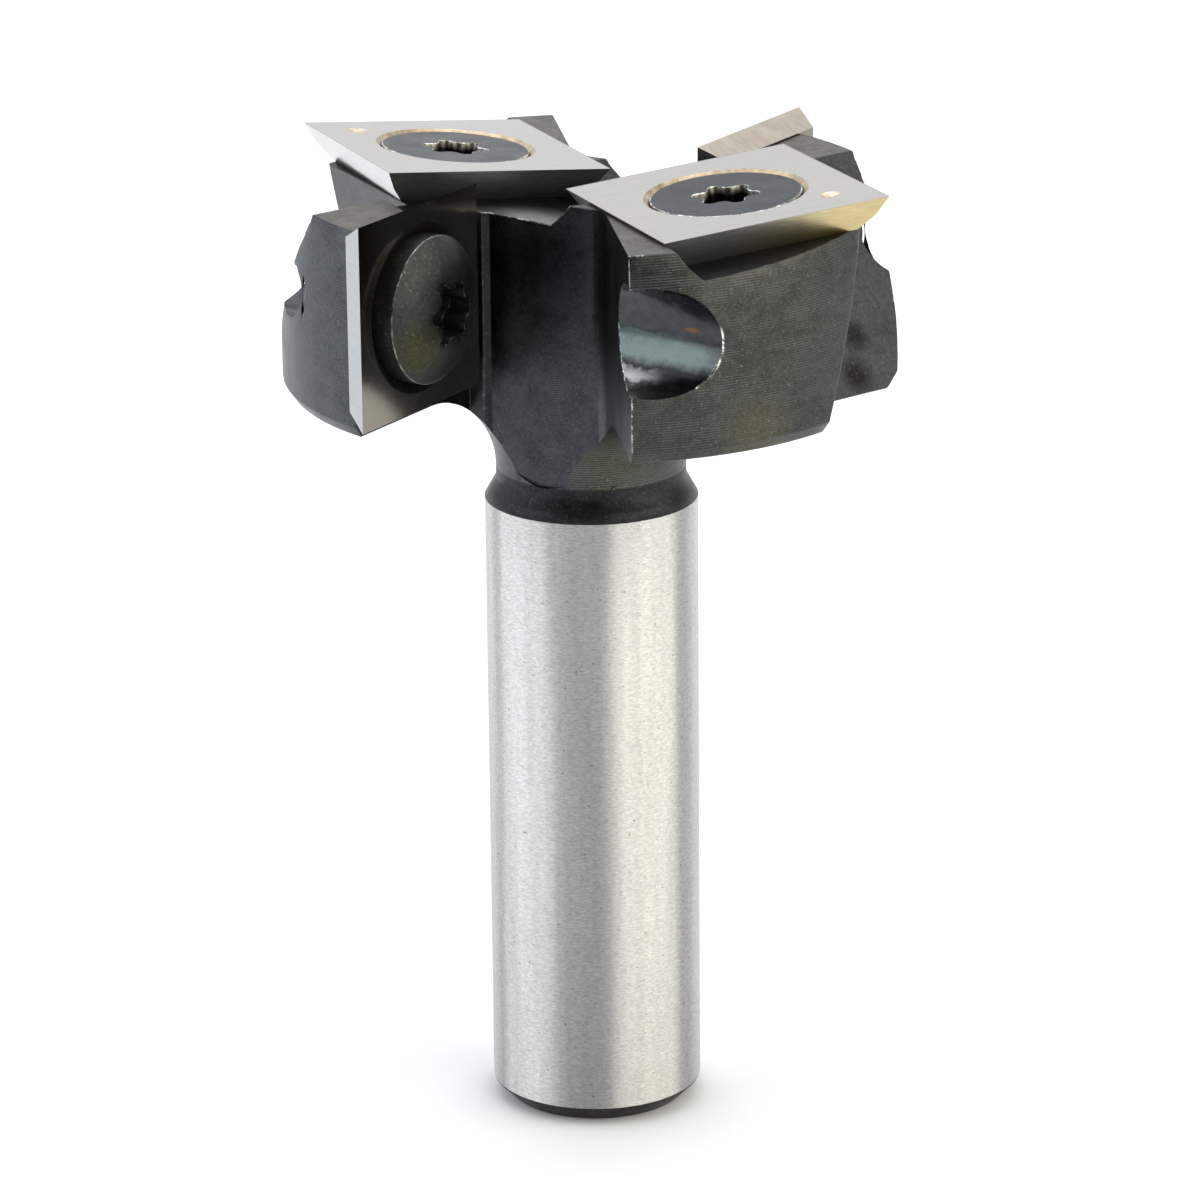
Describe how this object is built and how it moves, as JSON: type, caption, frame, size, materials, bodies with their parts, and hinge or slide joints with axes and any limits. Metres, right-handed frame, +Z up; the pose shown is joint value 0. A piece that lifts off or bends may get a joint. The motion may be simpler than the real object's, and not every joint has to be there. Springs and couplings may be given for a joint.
{
  "type": "surfacing router bit",
  "caption": "Short wide router bit with a plain round shank, flat-lying square inserts on its end and upright square inserts on its side, each held by one screw.",
  "frame": {"origin": "middle of the foot of the shank, on the axis of rotation", "axes": "+Z up the shank to the cutting end; +X square to the face of the first side insert, towards which the tool turns; +Y completes the right-handed set"},
  "size_m": [0.0392, 0.0378, 0.0585],
  "materials": {
    "blackened_steel": "black oxide over fine turned and milled marks, shank left ground bright",
    "insert": "ground cemented carbide, fine parallel grinding lines",
    "screw": "black oxide, satin"
  },
  "bodies": {
    "root": {"cutter_body": "blackened_steel", "end_insert_1": "insert", "end_insert_2": "insert", "side_insert_1": "insert", "side_insert_2": "insert", "end_screw_1": "screw", "end_screw_2": "screw", "side_screw_1": "screw", "side_screw_2": "screw"}
  },
  "joints": []
}
